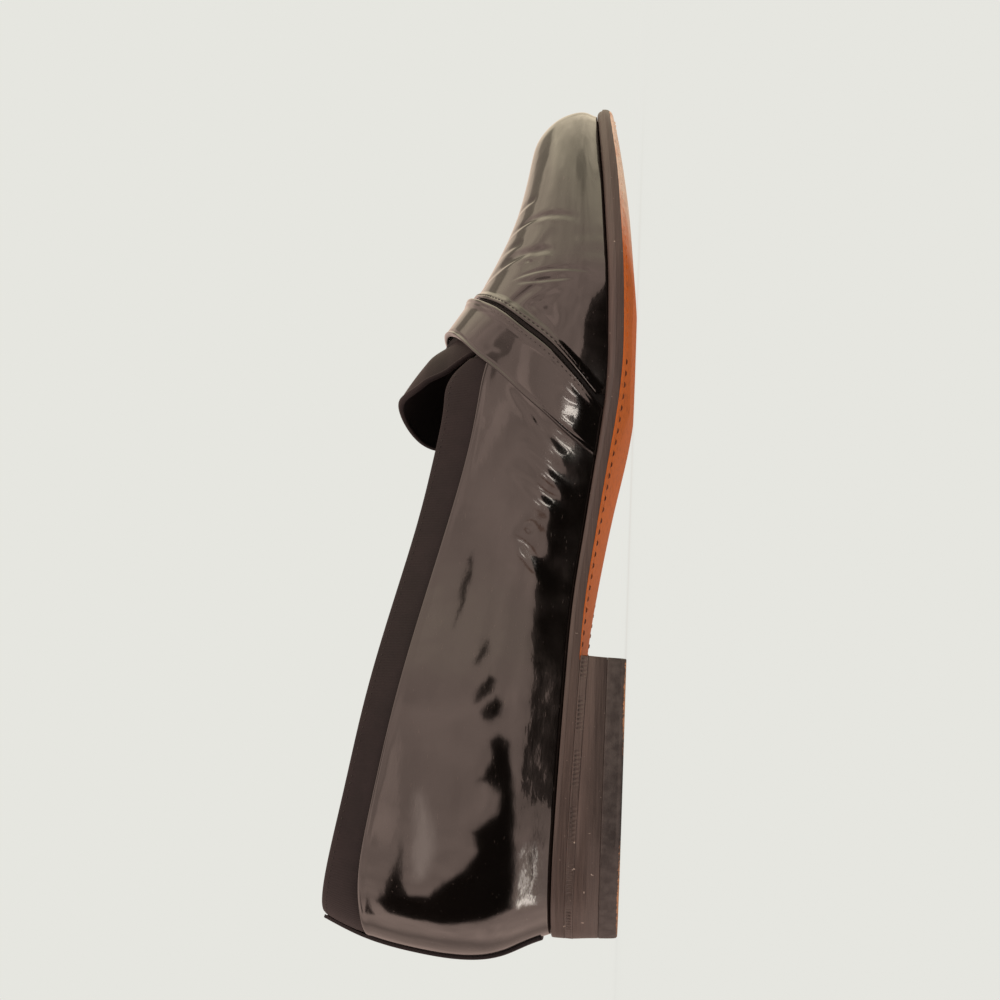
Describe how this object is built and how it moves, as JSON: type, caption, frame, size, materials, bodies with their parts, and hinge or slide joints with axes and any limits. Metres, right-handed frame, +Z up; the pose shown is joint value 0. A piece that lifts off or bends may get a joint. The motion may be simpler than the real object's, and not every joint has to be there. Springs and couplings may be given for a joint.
{
  "type": "patent leather loafer",
  "caption": "Black patent leather slip-on dress loafer with a plain instep strap, wide ribbed collar band, short tongue, leather sole and low stacked heel.",
  "frame": {"origin": "on the floor, under the middle of the shoe's box", "axes": "+X from the heel to the toe, +Y to the outer (lateral) side of this left shoe, +Z up"},
  "size_m": [0.3006, 0.0944, 0.092],
  "materials": {
    "patent_leather": "patent black, mirror gloss coat over smooth calf",
    "sole_leather": "tan bark-tanned sole leather, waxed, lightly worn",
    "edge_leather": "blackened and burnished sole edge and heel lifts",
    "top_piece_rubber": "black rubber, matt, worn at its lower rim",
    "grosgrain": "black ribbed silk-look band",
    "lining": "black leather sock and lining"
  },
  "bodies": {
    "root": {"outsole": "sole_leather", "welt": "edge_leather", "heel_rand": "edge_leather", "heel_stack": "edge_leather", "heel_top_piece": "top_piece_rubber", "insole": "lining", "upper": "patent_leather", "instep_strap": "patent_leather", "collar_binding": "grosgrain", "tongue": "grosgrain", "back_strip": "patent_leather"}
  },
  "joints": []
}
